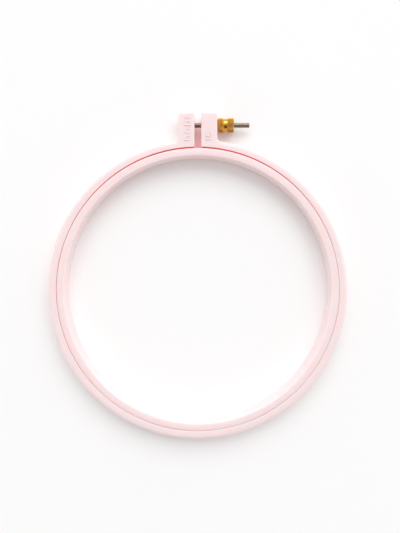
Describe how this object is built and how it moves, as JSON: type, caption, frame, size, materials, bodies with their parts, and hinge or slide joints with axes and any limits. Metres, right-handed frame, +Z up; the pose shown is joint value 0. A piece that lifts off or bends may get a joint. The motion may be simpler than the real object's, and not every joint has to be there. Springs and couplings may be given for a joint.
{
  "type": "embroidery hoop",
  "caption": "Round plastic embroidery hoop: a split outer ring with clamp lugs, drawn up by a screw and a knurled thumb nut, grips fabric against a plain inner ring.",
  "frame": {"origin": "centre of the rings' common axis on the underside, where the hoop rests on a table", "axes": "+Z up along the rings' axis, +Y towards the clamp lugs, +X along the clamp screw towards the thumb nut"},
  "size_m": [0.1592, 0.1735, 0.01],
  "materials": {
    "ring_plastic": "satin moulded plastic, pastel pink",
    "plated_steel": "nickel-plated machine screw",
    "brass": "turned brass, knurled"
  },
  "bodies": {
    "outer_ring": {"outer_ring": "ring_plastic"},
    "inner_ring": {"inner_ring": "ring_plastic"},
    "clamp_screw": {"clamp_screw": "plated_steel"},
    "thumb_nut": {"thumb_nut": "brass"}
  },
  "joints": [
    {"name": "inner_ring_lift", "type": "slide", "parent": "outer_ring", "child": "inner_ring", "axis": [0, 0, 1], "range_m": [0, 0.015]},
    {"name": "screw_travel", "type": "slide", "parent": "outer_ring", "child": "clamp_screw", "axis": [-1, 0, 0], "range_m": [0, 0.0086]},
    {"name": "nut_turn", "type": "hinge", "parent": "outer_ring", "child": "thumb_nut", "pos_m": [0.0104, 0.08825, 0.005], "axis": [1, 0, 0], "range_deg": [0, 6192.1]}
  ],
  "couplings": [
    {"joint": "nut_turn", "follows": "screw_travel", "rad_per_m": 12566}
  ]
}
